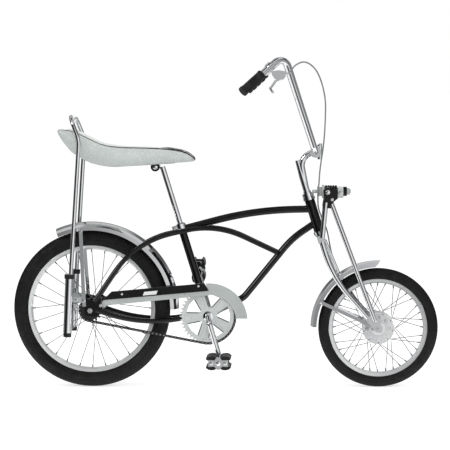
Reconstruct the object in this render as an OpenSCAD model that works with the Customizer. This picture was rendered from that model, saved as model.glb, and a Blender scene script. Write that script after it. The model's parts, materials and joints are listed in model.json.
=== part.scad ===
// Chopper bicycle: small front wheel in a springer fork, twin-tube frame, banana saddle and sissy bar
// Lengths are in millimetres. Sizes are worked out about the rear axle: +X forward, +Y to the rider's left, +Z up

/* [Wheels] */
// Outer radius of the rear tyre
rear_tyre_r = 258; // [254:1:260]
// Width of the rear tyre
rear_tyre_w = 54; // [48:1:56]
// Outer radius of the front tyre
front_tyre_r = 195.5; // [192:0.5:198]
// Width of the front tyre
front_tyre_w = 45; // [40:1:46]
// Distance between the two wheel axles
wheelbase = 939; // [932:1:946]
// Number of spokes in the rear wheel
rear_spoke_n = 28; // [20:4:36]
// Number of spokes in the front wheel
front_spoke_n = 36; // [28:4:40]
// Radius of the axles' threaded ends
axle_r = 4.8; // [4.5:0.1:5]

/* [Frame] */
// Lean of the head tube from upright, in degrees
head_lean = 17; // [16:0.5:18]
// Length of the head tube
head_len = 107; // [100:1:110]
// Radius of the head tube
head_r = 16.5; // [16:0.5:18]
// Lean of the seat tube from upright, in degrees
seat_lean = 17; // [16:0.5:18]
// Radius of the seat tube
seat_tube_r = 12.7; // [12:0.1:13]
// Radius of the top tube
top_tube_r = 12; // [11:0.5:12.5]
// Radius of the down tube
down_tube_r = 11.3; // [10.5:0.1:12]
// Radius of the twin tubes and chainstays
stay_r = 8; // [7:0.5:8]
// Distance between the two rear dropouts' inner faces
rear_gap = 115; // [114:1:118]

/* [Saddle] */
// Height of the saddle's top above the rear axle
saddle_h = 531; // [526:1:536]
// Width of the saddle over its rear half
saddle_w = 128; // [116:2:132]
// Width of the saddle at its nose
saddle_nose_w = 92; // [80:2:104]

/* [Drive] */
// Number of teeth on the chainring
ring_teeth = 44; // [42:1:44]
// Number of teeth on the rear cog
cog_teeth = 18; // [16:1:18]
// Length of each crank arm from centre to centre
crank_len = 140; // [130:1:145]
// Distance of the chain from the bicycle's middle plane
chain_line = 44; // [43.5:0.1:44.5]

/* [Handlebar] */
// Radius of the handlebar tube
bar_r = 11.1; // [10.8:0.1:11.5]
// Distance between the outer ends of the two grips
bar_w = 590; // [560:10:620]
// Radius of the rubber grips
grip_r = 15; // [14:0.5:16]

/* [Hidden] */
$fn = 48;

// Places, as [x, z] about the rear axle
rider_x = 104;
bb = [384, -21];
front_axle_z = front_tyre_r - rear_tyre_r;
head_mid = [731, 305.7];
head_up = [-sin(head_lean), cos(head_lean)];
seat_up = [-sin(seat_lean), cos(seat_lean)];
function steer_at(t) = [head_mid.x + t * head_up.x, 0, head_mid.y + t * head_up.y];
function seat_at(t) = [bb.x + t * seat_up.x, 0, bb.y + t * seat_up.y];

// Colours
frame_black = [0.05, 0.05, 0.055];
chrome = [0.8, 0.82, 0.84];
rubber = [0.08, 0.08, 0.08];
silver = [0.74, 0.77, 0.77];
vinyl = [0.86, 0.88, 0.87];

// Tube maths: a straight rod, a bent corner and a tube along a short list of corners
run_in = 0.8;
hair = 0.05;
function unit(v) = v / norm(v);
function turn_at(p, i) = acos(min(1, unit(p[i] - p[i - 1]) * unit(p[i + 1] - p[i])));
function setback(p, bend, i) = (i < 1 || i > len(p) - 2) ? 0 : bend[i - 1] * tan(turn_at(p, i) / 2);

module rod(a, b, r) {
    d = b - a;
    translate(a)
        rotate([0, acos(d.z / norm(d)), atan2(d.y, d.x)])
            cylinder(h = norm(d), r = r);
}

module elbow(p, bend, i, r) {
    along = unit(p[i] - p[i - 1]);
    onward = unit(p[i + 1] - p[i]);
    turn = turn_at(p, i);
    centre = p[i] + unit(onward - along) * bend / cos(turn / 2);
    start = p[i] - along * bend * tan(turn / 2);
    out = unit(start - centre);
    up = cross(out, along);
    multmatrix([[out.x, along.x, up.x, centre.x],
                [out.y, along.y, up.y, centre.y],
                [out.z, along.z, up.z, centre.z],
                [0, 0, 0, 1]])
        rotate_extrude(angle = turn, $fn = max(48, 10 * sqrt(bend)))
            translate([bend, 0])
                circle(r = r, $fn = 48);
}

// p holds corners as [x, y, z] and bend the radius at each inner corner
// The straight runs are a hair thinner than the elbows and reach a little way into them
module bent_tube(p, bend, r) {
    last = len(p) - 2;
    for (i = [0 : last]) {
        along = unit(p[i + 1] - p[i]);
        from = i == 0 ? 0 : setback(p, bend, i) - run_in;
        to = i == last ? 0 : setback(p, bend, i + 1) - run_in;
        rod(p[i] + along * from, p[i + 1] - along * to, r - hair);
    }
    for (i = [1 : last])
        elbow(p, bend[i - 1], i, r);
}

// A tube of flat facets swept along points, for what bends freely or coils
function heading(p, i) = unit(p[min(i + 1, len(p) - 1)] - p[max(i - 1, 0)]);
function ring_at(p, i, r, sides) =
    let (d = heading(p, i), u = unit(cross(d, [1, 0.2, 0.1])), v = cross(d, u))
    [for (k = [0 : sides - 1]) p[i] + r * (u * cos(k * 360 / sides) + v * sin(k * 360 / sides))];

module swept_tube(p, r, sides) {
    n = len(p);
    polyhedron(
        points = [for (i = [0 : n - 1]) each ring_at(p, i, r, sides)],
        faces = concat(
            [[for (k = [0 : sides - 1]) k]],
            [for (i = [0 : n - 2], k = [0 : sides - 1])
                [i * sides + k, (i + 1) * sides + k, (i + 1) * sides + (k + 1) % sides, i * sides + (k + 1) % sides]],
            [[for (k = [sides - 1 : -1 : 0]) (n - 1) * sides + k]]));
}

// The same path on the other side, run backward, so that a bar is one tube from side to side
function mirrored(p) = [for (i = [len(p) - 1 : -1 : 0]) [p[i].x, -p[i].y, p[i].z]];

// A shape lying in the bicycle's plane, thick across it, from y = side to y = side + t
module plate(y, t) {
    translate([0, y + t, 0])
        rotate([90, 0, 0])
            linear_extrude(t)
                children();
}

// A flat bar from a to b, w wide in its own face and t thick
module strap(a, b, w, t) {
    along = unit(b - a);
    thick = unit([0, 1, 0] - along * along.y);
    wide = cross(thick, along);
    multmatrix([[along.x, wide.x, thick.x, a.x],
                [along.y, wide.y, thick.y, a.y],
                [along.z, wide.z, thick.z, a.z],
                [0, 0, 0, 1]])
        translate([0, -w / 2, -t / 2])
            cube([norm(b - a), w, t]);
}

module both_sides() {
    children();
    mirror([0, 1, 0])
        children();
}

// Puts a shape on the steering axis, t above the head tube's middle
module on_steering(t) {
    translate(steer_at(t))
        rotate([0, -head_lean, 0])
            children();
}

module on_seat_tube(t) {
    translate(seat_at(t))
        rotate([0, -seat_lean, 0])
            children();
}

// Places the whole bicycle with the saddle's top at the origin
module placed() {
    translate([-rider_x, 0, -saddle_h])
        children();
}

// Frame
bb_shell_r = 27;
bb_shell_w = 68;
seat_tube_len = 315;
top_tube_path = [[299.5, 0, 261.4], [534, 0, 323], [718, 0, 326.6]];
down_tube_path = [[bb.x, 0, bb.y], [500, 0, 36.5], [657, 0, 229], [744, 0, 288.5]];
shank_r = axle_r + 0.5;
dropout_t = 5;
dropout_y = rear_gap / 2;
stay_y = dropout_y + dropout_t / 2;
twin_path = [[14, stay_y, 29], [146, 50, 222], [290, 21.3, 253.6], [410, 21.2, 280], [612, 12, 184]];
twin_bend = [300, 160, 290];
chainstay_path = [[18, stay_y, 1], [168, 50, -48], [372, 15, -20]];

module head_tube_solid() {
    on_steering(-head_len / 2)
        cylinder(h = head_len, r = head_r);
}

module head_tube() {
    color(frame_black)
        difference() {
            head_tube_solid();
            on_steering(-head_len / 2 - 1)
                cylinder(h = head_len + 2, r = steerer_r + 1.5);
        }
}

module top_tube() {
    color(frame_black)
        difference() {
            bent_tube(top_tube_path, [1100], top_tube_r);
            head_tube_solid();
            seat_tube_solid();
        }
}

module down_tube_solid() {
    bent_tube(down_tube_path, [60, 300], down_tube_r);
}

module down_tube() {
    color(frame_black)
        difference() {
            down_tube_solid();
            head_tube_solid();
            bb_solid();
        }
}

module seat_tube_solid() {
    on_seat_tube(0)
        cylinder(h = seat_tube_len, r = seat_tube_r);
}

module seat_tube() {
    color(frame_black)
        difference() {
            seat_tube_solid();
            bb_solid();
            on_seat_tube(seat_tube_len - post_in)
                cylinder(h = post_in + 1, r = post_r);
        }
}

module bb_solid() {
    translate([bb.x, bb_shell_w / 2, bb.y])
        rotate([90, 0, 0])
            cylinder(h = bb_shell_w, r = bb_shell_r);
}

module bottom_bracket() {
    color(frame_black)
        difference() {
            bb_solid();
            translate([bb.x, bb_shell_w, bb.y])
                rotate([90, 0, 0])
                    cylinder(h = 2 * bb_shell_w, r = spindle_r + run_gap);
        }
}

module twin_tubes() {
    color(frame_black)
        difference() {
            both_sides()
                bent_tube(twin_path, twin_bend, stay_r);
            down_tube_solid();
            both_sides()
                dropout_plate();
        }
}

module chainstays() {
    color(frame_black)
        difference() {
            both_sides()
                bent_tube(chainstay_path, [475], stay_r);
            bb_solid();
            both_sides()
                dropout_plate();
        }
}

module dropout_plate() {
    plate(dropout_y, dropout_t)
        difference() {
            polygon([[-18, -14], [-8, -19], [14, -20], [34, -12], [40, 4], [36, 34], [22, 44], [4, 36],
                [-24, 42], [-31, 34], [-29, 20], [-20, 8]]);
            circle(r = shank_r);
        }
}

module dropouts() {
    color(frame_black)
        both_sides()
            dropout_plate();
}

// Headset and steering
steerer_r = 12.7;
run_gap = 0.06;
cup_h = 9;
race_gap = 0.3;
cup_r = 20;

module headset_cups() {
    color(chrome)
        for (t = [head_len / 2, -head_len / 2 - cup_h])
            on_steering(t)
                difference() {
                    cylinder(h = cup_h, r = cup_r);
                    translate([0, 0, -1])
                        cylinder(h = cup_h + 2, r = steerer_r + run_gap);
                }
}

// Saddle and what carries it
post_r = 9;
post_in = 90;
post_top = 510;
saddle_top = [[-105, 588], [-60, 588.5], [-32, 576.5], [-11, 566.5], [11, 555.5], [33, 544], [60, 536.5],
    [rider_x, saddle_h], [163, 529], [213, 526.5], [257, 522.5], [295, 514.5], [322, 502.5], [338, 494], [342.5, 488]];
saddle_bottom = [[338, 484.5], [279, 482], [213, 477.6], [169, 475], [110, 471.5], [77, 470], [38, 475.6],
    [6, 484.7], [-19, 495.6], [-32.5, 505.4], [-54, 516.5], [-71, 535.5], [-87, 554.5], [-105, 582]];

module seat_post() {
    color(chrome)
        on_seat_tube(seat_tube_len - post_in)
            cylinder(h = post_top - seat_tube_len + post_in, r = post_r);
}

module post_clamp() {
    color(chrome)
        difference() {
            union() {
                on_seat_tube(seat_tube_len - 22)
                    cylinder(h = 20, r = seat_tube_r + 4);
                on_seat_tube(seat_tube_len - 22)
                    translate([-30, -8, 0])
                        cube([18, 16, 20]);
            }
            seat_tube_solid();
            bent_tube(top_tube_path, [1100], top_tube_r);
            both_sides()
                bent_tube(twin_path, twin_bend, stay_r);
        }
}

clamp_r = 15;
clamp_w = 44;

module saddle_clamp() {
    color(frame_black)
        difference() {
            translate([213, clamp_w / 2, 466.5])
                rotate([90, 0, 0])
                    cylinder(h = clamp_w, r = clamp_r);
            on_seat_tube(0)
                cylinder(h = post_top, r = post_r);
            saddle_solid();
            pan_solid();
        }
}

module saddle_solid() {
    intersection() {
        rotate([90, 0, 0])
            linear_extrude(saddle_w, center = true)
                polygon(concat(saddle_top, saddle_bottom));
        translate([0, 0, saddle_h - 80])
            linear_extrude(160)
                polygon([[-106, -saddle_w * 0.36], [-90, -saddle_w / 2], [90, -saddle_w / 2],
                    [190, -saddle_nose_w / 2], [326, -saddle_nose_w / 2], [343, -saddle_nose_w * 0.36],
                    [343, saddle_nose_w * 0.36], [326, saddle_nose_w / 2], [190, saddle_nose_w / 2],
                    [90, saddle_w / 2], [-90, saddle_w / 2], [-106, saddle_w * 0.36]]);
    }
}

module saddle() {
    color(vinyl)
        saddle_solid();
}

pan_t = 3;

module pan_solid() {
    for (i = [1 : 6]) {
        a = saddle_bottom[i];
        b = saddle_bottom[i + 1];
        plate(-saddle_nose_w * 0.4, saddle_nose_w * 0.8)
            polygon([a, b, b - [0, pan_t], a - [0, pan_t]]);
    }
}

module saddle_pan() {
    color(frame_black)
        difference() {
            pan_solid();
            on_seat_tube(0)
                cylinder(h = post_top, r = post_r);
        }
}

// Sissy bar, shock bodies and their brackets
sissy_r = 7;
shock_y = 82;
shock_r = 14;
sissy_path = [[-60.5, -shock_y, 112], [-29, -shock_y + 1, 557], [-58, -shock_y + 9, 631]];
shock_foot = [-73, -70];
shock_head = [-64.5, 107];
cap_h = 14;

module sissy_bar() {
    color(chrome)
        union() {
            bent_tube(concat(sissy_path, mirrored(sissy_path)), [100, 36, 36, 100], sissy_r);
            both_sides()
                rod([-33, saddle_w / 2 + 0.3, 545], [-33, shock_y - 4, 545], 5);
        }
}

bracket_y = dropout_y + dropout_t;
bracket_t = 4;
strap_t = 3;

function shock_point(k) = [shock_foot.x + k * (shock_head.x - shock_foot.x), shock_y,
    shock_foot.y + k * (shock_head.y - shock_foot.y)];

module shocks() {
    color(chrome)
        both_sides()
            rod(shock_point(0), shock_point(1), shock_r);
}

cap_part = cap_h / norm(shock_head - shock_foot);

module shock_caps() {
    color(rubber)
        both_sides() {
            difference() {
                rod(shock_point(1), shock_point(1 + cap_part), shock_r + 2.5);
                mirror([0, 1, 0])
                    rod(sissy_path[0], sissy_path[1], sissy_r);
            }
            rod(shock_point(-cap_part), shock_point(0), shock_r - 1);
        }
}

module shock_brackets() {
    color(silver)
        difference() {
            both_sides() {
                plate(bracket_y, bracket_t)
                    polygon([[-80, 28], [-66, 44], [-24, 44], [-15, 40], [-15, 26], [-40, 27], [-68, 25]]);
                rod([-68, bracket_y + 1, 35], [-68, shock_y - 4, 35], 7);
            }
            both_sides()
                rod(shock_point(0), shock_point(1), shock_r);
        }
}

// Fenders: a thin curved section turned about the wheel's axle
module fender_section(crown_r, lip_r, half_w, t) {
    difference() {
        polygon([[lip_r, -half_w], [lip_r + 12, -half_w + 1], [crown_r - 7, -half_w * 0.62], [crown_r - 2, -half_w * 0.2],
            [crown_r, 0], [crown_r - 2, half_w * 0.2], [crown_r - 7, half_w * 0.62], [lip_r + 12, half_w - 1],
            [lip_r, half_w]]);
        polygon([[lip_r - 1, -half_w + t], [lip_r + 11, -half_w + 1 + t], [crown_r - 7 - t, -half_w * 0.62 + t / 2],
            [crown_r - 2 - t, -half_w * 0.2], [crown_r - t, 0], [crown_r - 2 - t, half_w * 0.2],
            [crown_r - 7 - t, half_w * 0.62 - t / 2], [lip_r + 11, half_w - 1 - t], [lip_r - 1, half_w - t]]);
    }
}

// Turns a section drawn as [radius, y] about the axle, from one angle above the front to another
module wheel_arc(from, to) {
    rotate([90, 0, 0])
        rotate([0, 0, from])
            rotate_extrude(angle = to - from)
                children();
}

fender_t = 2;
rear_crown_r = 287;
rear_lip_r = 260;
rear_fender_half = 35;
front_crown_r = 221;
front_lip_r = 201;
front_fender_half = 30;

module rear_fender() {
    color(chrome)
        difference() {
            wheel_arc(0, 114)
                fender_section(rear_crown_r, rear_lip_r, rear_fender_half, fender_t);
            both_sides()
                bent_tube(twin_path, twin_bend, stay_r);
        }
}

// Straps from the fender's lips down to the dropouts
stay_knee = [-20.6, bracket_y + bracket_t + strap_t / 2, 50];

module rear_fender_stays() {
    color(chrome)
        difference() {
            both_sides() {
                strap([-31.5, rear_fender_half + strap_t / 2, 262], stay_knee, 12, strap_t);
                strap(stay_knee + [-0.3, 0, 6], stay_knee + [1.8, 0, -36], 12, strap_t);
            }
            wheel_arc(60, 120)
                fender_section(rear_crown_r, rear_lip_r, rear_fender_half, fender_t);
        }
}

// Chain guard
guard_t = 2.5;
guard_y = -dropout_y;
crescent = [389, -36];
crescent_r = 124.5;
crescent_in_r = 87;
panel_shape = [[70, 62], [373.5, 89], [387, 64.5], [41, 34]];
strip_shape = [[41, 34], [387, 64.5], [392, 56], [387, 49], [52, 16], [48, 10], [27, 8], [27, 26], [44, 30]];

module guard_panel() {
    color(frame_black)
        plate(guard_y - guard_t, guard_t)
            polygon(panel_shape);
}

module chain_guard() {
    color(silver)
        difference() {
            union() {
                plate(guard_y, guard_t) {
                    polygon(strip_shape);
                    polygon(panel_shape);
                    difference() {
                        translate(crescent)
                            circle(r = crescent_r);
                        translate(crescent)
                            circle(r = crescent_in_r);
                        translate([crescent.x - 200, crescent.y - 191])
                            square([400, 200]);
                        translate([crescent.x - 410, crescent.y - 20])
                            square([400, 200]);
                    }
                }
                rod([354, -seat_tube_r + 4, 80], [354, guard_y + 1, 80], 5);
            }
            seat_tube_solid();
        }
}

// Chain: two rows of side plates around both sprockets, with rollers only along the free runs
pitch = 12.7;
ring_r = pitch / 2 / sin(180 / ring_teeth);
cog_r = pitch / 2 / sin(180 / cog_teeth);
run_angle = atan2(bb.y, bb.x);
centre_dist = norm(bb);
lap = asin((ring_r - cog_r) / centre_dist);
run_len = centre_dist * cos(lap);
ring_arc = (180 + 2 * lap) * PI / 180 * ring_r;
cog_arc = (180 - 2 * lap) * PI / 180 * cog_r;
chain_len = 2 * run_len + ring_arc + cog_arc;
link_n = 2 * round(chain_len / pitch / 2);
link_len = chain_len / link_n;

function turned(p, a) = [p.x * cos(a) - p.y * sin(a), p.x * sin(a) + p.y * cos(a)];
function polar(c, r, a) = c + r * [cos(a), sin(a)];

// A point of the chain's loop, s along it from where it leaves the cog's top, and off outward of it
function loop_point(s, off) =
    s < run_len ? turned(polar([0, 0], cog_r + off, 90 + lap) + s * [cos(lap), sin(lap)], run_angle) :
    s < run_len + ring_arc ?
        turned(polar([centre_dist, 0], ring_r + off, 90 + lap - (s - run_len) / ring_r * 180 / PI), run_angle) :
    s < 2 * run_len + ring_arc ?
        turned(polar([centre_dist, 0], ring_r + off, -90 - lap)
            - (s - run_len - ring_arc) * [cos(lap), -sin(lap)], run_angle) :
        turned(polar([0, 0], cog_r + off, -90 - lap - (s - 2 * run_len - ring_arc) / cog_r * 180 / PI), run_angle);

plate_high = 4.3;
plate_waist = 3.3;
plate_t = 1.5;
plate_in = 2.2;
roller_r = 3.9;
tooth_tip = 3.2;
reach = tooth_tip + roller_r + 1;
by_ring = sqrt(reach * (2 * ring_r + reach));
by_cog = sqrt(reach * (2 * cog_r + reach));

module plate_row() {
    linear_extrude(plate_t)
        difference() {
            polygon([for (i = [0 : 2 * link_n - 1]) loop_point(i * link_len / 2, i % 2 == 0 ? plate_high : plate_waist)]);
            polygon([for (i = [0 : 2 * link_n - 1]) loop_point(i * link_len / 2, i % 2 == 0 ? -plate_high : -plate_waist)]);
        }
}

module chain() {
    color(rubber)
        translate([0, -chain_line, 0])
            rotate([90, 0, 0]) {
                translate([0, 0, plate_in])
                    plate_row();
                translate([0, 0, -plate_in - plate_t])
                    plate_row();
                for (i = [0 : link_n - 1]) {
                    s = i * link_len;
                    on_top = s > by_cog && s < run_len - by_ring;
                    below = s > run_len + ring_arc + by_ring && s < 2 * run_len + ring_arc - by_cog;
                    if (on_top || below)
                        translate(loop_point(s, 0))
                            translate([0, 0, -plate_in])
                                cylinder(h = 2 * plate_in, r = roller_r, $fn = 6);
                }
            }
}

// Sprockets
sprocket_t = 3;
tooth_shape = [[-0.32, -4.1], [-0.12, tooth_tip], [0.12, tooth_tip], [0.32, -4.1]];
function tooth_points(n, r) = [for (i = [0 : n - 1], k = tooth_shape) polar([0, 0], r + k[1], (i + k[0]) * 360 / n)];

module rear_cog() {
    color(frame_black)
        plate(-chain_line - sprocket_t / 2, sprocket_t)
            difference() {
                polygon(tooth_points(cog_teeth, cog_r));
                circle(r = hub_neck_r + run_gap);
            }
}

window_n = 5;
rib_t = 1.2;

module chainring() {
    color(silver)
        translate([bb.x, 0, bb.y]) {
            plate(-chain_line - sprocket_t / 2, sprocket_t)
                difference() {
                    polygon(tooth_points(ring_teeth, ring_r));
                    circle(r = spindle_r);
                    for (i = [0 : window_n - 1])
                        rotate(5 + i * 360 / window_n)
                            polygon([[26, 0], [68, -24], [72, 0], [68, 24]]);
                }
            plate(-chain_line - sprocket_t / 2 - rib_t, rib_t + 0.5)
                for (i = [0 : window_n - 1])
                    rotate(41 + i * 360 / window_n)
                        polygon([[28, -3], [76, -10], [76, 10], [28, 3]]);
        }
}

// Crank and pedals
spindle_r = 9.5;
crank_angle = 286;
arm_y = 76;
boss_r = 13;
boss_h = 21;
boss_gap = 6.5;
pedal_half = 45;
pedal_y = arm_y + boss_h / 2 + boss_gap + pedal_half;
pedal_at = crank_len * [cos(crank_angle), sin(crank_angle)];
pedal_pin_r = 7;
cone_r = 17;

// A point of the crank, out along the right arm and y across
function crank_point(out, y) = [bb.x + out * cos(crank_angle), y, bb.y + out * sin(crank_angle)];

module crank() {
    color(chrome)
        difference() {
            union() {
                bent_tube([crank_point(crank_len, -arm_y), crank_point(22, -arm_y), crank_point(0, -56),
                    crank_point(0, 56), crank_point(-22, arm_y), crank_point(-crank_len, arm_y)],
                    [14, 14, 14, 14], spindle_r + hair);
                for (side = [1, -1]) {
                    translate([bb.x - side * pedal_at.x, side * arm_y + boss_h / 2, bb.y - side * pedal_at.y])
                        rotate([90, 0, 0])
                            cylinder(h = boss_h, r = boss_r);
                    translate([bb.x, side > 0 ? bb_shell_w / 2 + 6.3 : -bb_shell_w / 2 - 0.3, bb.y])
                        rotate([90, 0, 0])
                            cylinder(h = 6, r = cone_r);
                }
            }
            for (side = [1, -1])
                translate([bb.x - side * pedal_at.x, side * arm_y + boss_h, bb.y - side * pedal_at.y])
                    rotate([90, 0, 0])
                        cylinder(h = 2 * boss_h, r = pedal_pin_r + run_gap);
        }
}

pedal_tube_r = 9;

module at_pedal(side) {
    translate([bb.x - side * pedal_at.x, side * pedal_y, bb.y - side * pedal_at.y])
        rotate([0, side > 0 ? 90 : 0, 0])
            children();
}

// The four rubber bars of a pedal, two ahead of its pin and two behind
bar_shape = [[4, 14.5], [8, 19], [14, 21.8], [24, 22.5], [34, 20], [40, 15], [40, 13], [34, 8.5], [24, 7], [14, 7.3],
    [8, 9.5]];

module pedal_frame(side) {
    at_pedal(side)
        color(chrome) {
            translate([0, pedal_half + 1, 0])
                rotate([90, 0, 0])
                    cylinder(h = 2 * pedal_half + 2, r = pedal_tube_r);
            translate([0, side > 0 ? -pedal_half : pedal_half + boss_h + boss_gap, 0])
                rotate([90, 0, 0])
                    cylinder(h = boss_h + boss_gap, r = pedal_pin_r);
            for (y = [-pedal_half, pedal_half - 3])
                plate(y, 3)
                    polygon([[-32, -11], [-12, -10], [-5, -20], [5, -20], [12, -10], [32, -11],
                        [32, 11], [12, 10], [5, 20], [-5, 20], [-12, 10], [-32, 11]]);
        }
}

module pedal_blocks(side) {
    at_pedal(side)
        color(rubber)
            difference() {
                for (along = [0, 1], up = [0, 1])
                    mirror([along, 0, 0])
                        mirror([0, 0, up])
                            plate(-pedal_half + 3, 2 * pedal_half - 6)
                                polygon(bar_shape);
                translate([0, pedal_half + 1, 0])
                    rotate([90, 0, 0])
                        cylinder(h = 2 * pedal_half + 2, r = pedal_tube_r);
            }
}

module pedal_frame_right() {
    pedal_frame(-1);
}

module pedal_blocks_right() {
    pedal_blocks(-1);
}

module pedal_frame_left() {
    pedal_frame(1);
}

module pedal_blocks_left() {
    pedal_blocks(1);
}

// Wheels, each about its own axle
rear_rim_r = 209;
rear_rim_half = 16;
front_rim_r = 160.5;
front_rim_half = 13;
rim_depth = 14;
spoke_r = 1.1;
hub_neck_r = 17;
rear_flange_r = 26;
rear_flange_y = 30;
drum_r = 50;
front_flange_y = 26.5;
hub_hole_n = 8;

module rim_section(r, half) {
    polygon([[r - rim_depth, -half * 0.4], [r - rim_depth, half * 0.4], [r - 9, half * 0.9], [r, half],
        [r, half * 0.82], [r - 6, half * 0.7], [r - 6, -half * 0.7], [r, -half * 0.82], [r, -half], [r - 9, -half * 0.9]]);
}

module tyre_section(r, w, rim_r, half) {
    difference() {
        translate([r - w / 2, 0])
            circle(r = w / 2);
        rim_section(rim_r, half);
        translate([0, -w])
            square([rim_r - 4, 2 * w]);
    }
}

module about_axle() {
    rotate([-90, 0, 0])
        rotate_extrude()
            children();
}

// Crossed spokes: each row alternates leading and trailing, and the two rows share the rim
module spokes(n, rim_r, flange_r, flange_y, sweep) {
    for (i = [0 : n - 1]) {
        side = i % 2 == 0 ? 1 : -1;
        lead = floor(i / 2) % 2 == 0 ? 1 : -1;
        a = i * 360 / n;
        h = a + lead * sweep;
        rod([flange_r * cos(h), side * flange_y + lead * 1.6, flange_r * sin(h)],
            [rim_r * cos(a), side * 3, rim_r * sin(a)], spoke_r);
    }
}

module rear_tyre() {
    color(rubber)
        about_axle()
            tyre_section(rear_tyre_r, rear_tyre_w, rear_rim_r, rear_rim_half);
}

module rear_rim() {
    color(chrome)
        about_axle()
            rim_section(rear_rim_r, rear_rim_half);
}

module rear_hub() {
    color(silver) {
        about_axle()
            polygon([[shank_r + run_gap, -52], [hub_neck_r, -52], [hub_neck_r, -32], [rear_flange_r, -31.5],
                [rear_flange_r, -28.5], [20, -27], [18, 0], [20, 27], [rear_flange_r, 28.5], [rear_flange_r, 31.5],
                [22, 33], [22, 50], [shank_r + run_gap, 50]]);
        spokes(rear_spoke_n, rear_rim_r - rim_depth + 1, rear_flange_r - 4, rear_flange_y, 62);
    }
}

module front_tyre() {
    color(rubber)
        translate([wheelbase, 0, front_axle_z])
            about_axle()
                tyre_section(front_tyre_r, front_tyre_w, front_rim_r, front_rim_half);
}

module front_rim() {
    color(chrome)
        translate([wheelbase, 0, front_axle_z])
            about_axle()
                rim_section(front_rim_r, front_rim_half);
}

module front_hub() {
    color(silver)
        translate([wheelbase, 0, front_axle_z]) {
            difference() {
                about_axle()
                    polygon([[shank_r + run_gap, -36], [13, -36], [14, -30], [22, -28], [drum_r + 2, -28],
                        [drum_r + 2, -25], [24, -22], [24, 8], [drum_r + 2, 16], [drum_r + 2, 30],
                        [drum_r - 4, 30], [drum_r - 4, 20], [shank_r + run_gap, 20]]);
                for (i = [0 : hub_hole_n - 1])
                    rotate([0, i * 360 / hub_hole_n, 0])
                        translate([36, -15, 0])
                            rotate([90, 0, 0])
                                cylinder(h = 20, r = 7);
            }
            spokes(front_spoke_n, front_rim_r - rim_depth + 1, drum_r - 2, front_flange_y, 38);
        }
}

axle_nut_r = 9;
axle_nut_h = 9;
axle_neck = 1.5;
axle_end = 8;

// An axle whose two ends stand out of their nuts behind a narrower neck
module axle_with_nuts(at_x, at_z, nut_y) {
    translate([at_x, 0, at_z]) {
        translate([0, nut_y + 1, 0])
            rotate([90, 0, 0])
                cylinder(h = 2 * nut_y + 2, r = shank_r);
        both_sides()
            rotate([-90, 0, 0]) {
                translate([0, 0, nut_y])
                    cylinder(h = axle_nut_h, r = axle_nut_r, $fn = 6);
                translate([0, 0, nut_y + axle_nut_h - 1])
                    cylinder(h = axle_neck + 2, r = axle_r - 0.4);
                translate([0, 0, nut_y + axle_nut_h + axle_neck])
                    cylinder(h = axle_end, r = axle_r);
            }
    }
}

module rear_axle() {
    color(chrome)
        axle_with_nuts(0, 0, dropout_y + dropout_t);
}

module brake_arm() {
    color(frame_black)
        difference() {
            translate([0, dropout_y, 0])
                rotate([90, 0, 0])
                    linear_extrude(3)
                        difference() {
                            union() {
                                circle(r = 20);
                                polygon([[0, -10], [110, -36], [112, -24], [0, 12]]);
                            }
                            circle(r = shank_r);
                        }
            both_sides()
                bent_tube(chainstay_path, [475], stay_r);
            both_sides()
                bent_tube(twin_path, twin_bend, stay_r);
        }
}

// Fork
crown_t = -78;
leg_r = 9.5;
leg_y = 48;
leg_plate_t = 4;
leg_path = [[752, 34, 236], [785.7, 42, 113], [wheelbase, leg_y, front_axle_z]];
strut_r = 7.5;
strut_plate_t = 5;
strut_y = 62;
strut_top = [787, 50, 346];

bridge_r = 6;
bridge_angle = 127.6;
bridge = polar([wheelbase, front_axle_z], front_crown_r + bridge_r + 0.3, bridge_angle);
brace_foot = polar([wheelbase, front_axle_z], front_crown_r + 1.8, 125.5);

module fork_crown() {
    color(chrome) {
        on_steering(crown_t)
            cylinder(h = head_len / 2 - crown_t + 30, r = steerer_r);
        on_steering(crown_t)
            translate([-13, -44, -12])
                cube([26, 88, 24]);
        on_steering(crown_t + 11)
            cylinder(h = -head_len / 2 - cup_h - race_gap - crown_t - 11, r = cup_r - 2);
        steerer_nut();
    }
}

module steerer_nut() {
    on_steering(head_len / 2 + cup_h + race_gap)
        cylinder(h = 14, r = cup_r - 1);
}

module fork_legs() {
    color(chrome)
        difference() {
            union() {
                rod([bridge.x, -leg_path[1].y, bridge.y], [bridge.x, leg_path[1].y, bridge.y], bridge_r);
                rod([765, 0, 226], [brace_foot.x, 0, brace_foot.y], 5.5);
                both_sides() {
                    bent_tube([leg_path[0], leg_path[1], leg_path[2] + [-34, -1, 38]], [400], leg_r);
                    plate(leg_y - leg_plate_t / 2, leg_plate_t)
                        polygon([[wheelbase - 50, front_axle_z + 40], [wheelbase - 30, front_axle_z + 48],
                            [wheelbase + 14, front_axle_z + 6], [wheelbase + 12, front_axle_z - 12],
                            [wheelbase - 8, front_axle_z - 10]]);
                }
            }
            both_sides()
                strut_blade();
            on_steering(crown_t)
                translate([-13, -44, -12])
                    cube([26, 88, 24]);
            translate([wheelbase, 100, front_axle_z])
                rotate([90, 0, 0])
                    cylinder(h = 200, r = shank_r);
        }
}

module rocker_tubes() {
    color(chrome)
        difference() {
            both_sides()
                rod(rocker_path[0], rocker_path[1], rocker_r);
            on_steering(crown_t)
                translate([-13, -44, -12])
                    cube([26, 88, 24]);
        }
}

module strut_blade() {
    plate(leg_y + leg_plate_t / 2, strut_plate_t)
        polygon([[wheelbase - 23, front_axle_z + 52], [wheelbase - 4, front_axle_z + 52],
            [wheelbase + 12, front_axle_z], [wheelbase, front_axle_z - 12], [wheelbase - 12, front_axle_z],
            [wheelbase - 16, front_axle_z + 22]]);
}

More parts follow.
